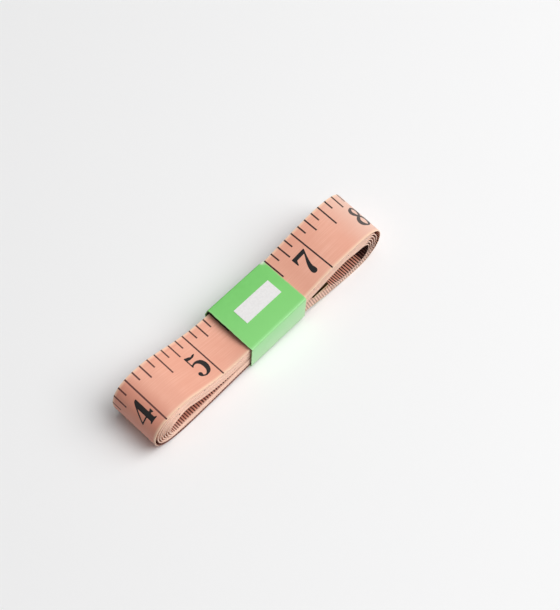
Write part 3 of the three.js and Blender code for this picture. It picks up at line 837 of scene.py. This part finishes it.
def paintBand(piece, outer, u, left, panel, around):  # where the card is creased, worn and bare, with painted light and painted sheen near its near side, and painted shade inside
    nearFold = np.abs(around[:, None] - around[panel < 0]).min(1)
    crease = np.exp(-(nearFold / band["creaseWidth"]) ** 2) * (left[:, 1] < 0) + 0 * u
    fromWorn = np.linalg.norm(outer - np.array(band["wornAt"]), axis=-1)
    worn = np.exp(-(fromWorn / band["wornSize"]) ** band["wornPower"])
    rim = np.zeros(outer.shape[:2])
    rim[[0, -1]] = 1.0
    y, z = outer[..., 1], outer[..., 2]
    nearY, farY = band["left"][nearTop][1], band["left"][farTop][1]
    lowZ, topZ = (between((band["left"][k][2], band["right"][k][2]), u) for k in (nearLow, nearTop))
    nearSide = ease((nearY + band["sideMargin"] - y) / band["sideOver"])
    # painted sheen on the near side, with some scuffing
    paintSheets(piece, "nearSide", band["sidePale"] * nearSide)
    paintSheets(piece, "sideSheenAndScuff", np.clip((topZ - z) / (topZ - lowZ), 0, 1))  # painted sheen, with some scuffing, paler towards the table
    paintSheets(piece, "paintedNearLight", np.clip((farY - y) / (farY - nearY), 0, 1))  # painted light: paler towards the near side
    paintSheets(piece, "fold", crease)
    paintSheets(piece, "bareCore", np.maximum(worn, rim * band["rimPale"]), rim * band["rimPale"])
    # painted shade on the inner sheet
    paintSheets(piece, "inside", 0 * rim, 1 - rim)


def makeBand():  # the folded edge carried from left to right, then given the card's thickness
    left, panel = foldedEdge(band["left"])
    right, _ = foldedEdge(band["right"])
    u = np.linspace(0, 1, band["lengthParts"])[:, None, None]
    middle = left + u * (right - left)
    normal = np.cross(np.gradient(middle, axis=1), np.gradient(middle, axis=0))
    normal /= np.linalg.norm(normal, axis=-1, keepdims=True)
    top = 2 * (band["panelParts"] + band["foldParts"]) + band["panelParts"] // 2  # the top panel's middle
    if normal[0, top] @ (middle[0, top] - middle.mean((0, 1))) < 0:
        normal = -normal
    swell = np.clip(panel, 0, None)[:, None] * np.sin(math.pi * u) * band["bulge"]
    around = np.cumsum(np.linalg.norm(np.diff(left, axis=0, prepend=left[:1]), axis=-1))
    ragged = band["ripple"] * sum(size * np.sin(around * rate + start) for size, rate, start in band["waver"])
    middle = middle + normal * swell
    middle[..., 0] += ragged * (2 * u[..., 0] - 1)
    outer = middle + normal * band["thickness"] / 2
    inner = middle - normal * band["thickness"] / 2
    piece = makeSlab("paperBand", outer, inner, greenCard)
    paintBand(piece, outer, u[..., 0], left, panel, around)
    return piece


paperBand = makeBand()
print("band made")

# The sticker on the band
label = dict(length=15.6, width=6.25, thickness=0.10, gap=0.03, centre=(4.4, 0.36), turn=-0.4, parts=(25, 11))


def bandTop(x, y):  # height of the band's top panel: straight across between its four top folds
    corner = {side: np.array(band[side])[[nearTop, farTop]] for side in ("left", "right")}
    leftX, rightX = corner["left"][:, 0].mean(), corner["right"][:, 0].mean()
    u = (x - leftX) / (rightX - leftX)
    v = (y - corner["left"][0, 1]) / (corner["left"][1, 1] - corner["left"][0, 1])
    near, far = (between((corner["left"][k, 2], corner["right"][k, 2]), u) for k in (0, 1))
    swell = np.sin(math.pi * np.clip(u, 0, 1)) * np.sin(math.pi * np.clip(v, 0, 1)) * band["bulge"]
    return near + v * (far - near) + swell + band["thickness"] / 2


def makeLabel():  # a rectangle turned a little, laid on the band's top
    a = np.linspace(-0.5, 0.5, label["parts"][0])[:, None] * label["length"]
    b = np.linspace(-0.5, 0.5, label["parts"][1]) * label["width"]
    turn = math.radians(label["turn"])
    x = label["centre"][0] + a * math.cos(turn) - b * math.sin(turn)
    y = label["centre"][1] + a * math.sin(turn) + b * math.cos(turn)
    under = bandTop(x, y) + label["gap"]
    lower, upper = np.stack([x, y, under], -1), np.stack([x, y, under + label["thickness"]], -1)
    return makeSlab("bandLabel", upper, lower, stickerPaper)


bandLabel = makeLabel()
print("label made")

# What each piece rides on, stands for and is made of: each piece is hung on its body and the solid it stands
# for is hidden; the names of what it is made of are not used
for piece, body, slot, node in (
    (tape, "winding", "coated_cloth", "tape_ribbon"),
    (inchMarks, "winding", "coated_cloth", None),
    (millimetreMarks, "winding", "coated_cloth", None),
    (inchNumbers, "winding", "coated_cloth", None),
    (centimetreNumbers, "winding", "coated_cloth", None),
    (outerTip, "winding", "brass", "outer_end_tip"),
    (innerTip, "winding", "brass", "inner_end_tip"),
    (paperBand, "wrap", "green_card", "paper_band"),
    (bandLabel, "wrap", "white_paper", "band_label"),
):
    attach(piece, body)
    if node:
        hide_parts(node)

# Floor, light and camera
stage = dict(
    floorSize=3000.0, floorParts=3, floorColour=(0.895, 0.895, 0.897), floorRoughness=0.7, drop=0.05,
    skyColour=(1.0, 1.0, 1.0), skyStrength=0.12, backdrop=0.88,
    # lamps: azimuth, elevation, distance, size in metres, power in watts
    lamps=dict(keyLamp=(48.0, 51.0, 1.6, 1.4, 23.6), topLamp=(46.0, 80.0, 1.6, 1.4, 8.6)),
)


def makeFloor():  # a flat square just under the object
    side = np.linspace(-0.5, 0.5, stage["floorParts"]) * stage["floorSize"]
    x, y = np.meshgrid(side, side)
    points = np.stack([x, y, np.full(x.shape, -stage["drop"])], -1)
    material, tree, shader = newFinish("paleFloor")
    setInputs(tree, shader, Base_Color=(*stage["floorColour"], 1), Roughness=stage["floorRoughness"])
    floor = makePiece("floor", points, gridFaces(*x.shape).tolist(), material)


def aimedFrom(azimuth, elevation):  # unit vector back towards the viewer or lamp, azimuth 0 looking along +Y
    a, e = math.radians(azimuth), math.radians(elevation)
    return np.array([math.sin(a) * math.cos(e), -math.cos(a) * math.cos(e), math.sin(e)])


def facing(back, place):  # a matrix at place whose -Z looks along -back, with Y upwards
    right = np.cross([0, 0, 1], back)
    right /= np.linalg.norm(right)
    matrix = np.eye(4)
    matrix[:3, :3] = np.stack([right, np.cross(back, right), back], -1)
    matrix[:3, 3] = place
    return Matrix(matrix.tolist())


def makeLights():  # a dim room that looks bright to the camera and in gloss, and two large lamps
    world = bpy.data.worlds.new("softRoom")
    scene.world = world
    world.use_nodes = True
    tree = world.node_tree
    path = addNode(tree, "ShaderNodeLightPath").outputs
    seen = combine(tree, "MAXIMUM", path["Is Camera Ray"], path["Is Glossy Ray"])
    seen = combine(tree, "MAXIMUM", seen, path["Is Transmission Ray"])
    strength = ramp(tree, seen, 0.0, 1.0, stage["skyStrength"], stage["backdrop"])
    setInputs(tree, tree.nodes["Background"], Color=(*stage["skyColour"], 1), Strength=strength)
    for name, (azimuth, elevation, distance, size, power) in stage["lamps"].items():
        light = bpy.data.lights.new(name, "AREA")
        light.size = size
        light.energy = power
        lamp = bpy.data.objects.new(name, light)
        back = aimedFrom(azimuth, elevation)
        lamp.matrix_world = facing(back, back * distance)
        scene.collection.objects.link(lamp)


view = dict(
    azimuth=-46.15, elevation=60.25, place=(-175.46, -182.42, 459.21), focal=1600.0, imageHeight=610.0,
    sensor=36.0, clipStart=10.0,
)


def makeCamera():  # focal length in pixels of the tall side, turned into millimetres of sensor
    camera = bpy.data.cameras.new("viewCamera")
    camera.sensor_width = view["sensor"]
    camera.lens = view["focal"] * view["sensor"] / view["imageHeight"]
    camera.clip_start = view["clipStart"] * mm
    holder = bpy.data.objects.new("viewCamera", camera)
    holder.matrix_world = facing(aimedFrom(view["azimuth"], view["elevation"]), np.array(view["place"]) * mm)
    scene.collection.objects.link(holder)
    scene.camera = holder


makeFloor()
makeLights()
makeCamera()
print("stage set")
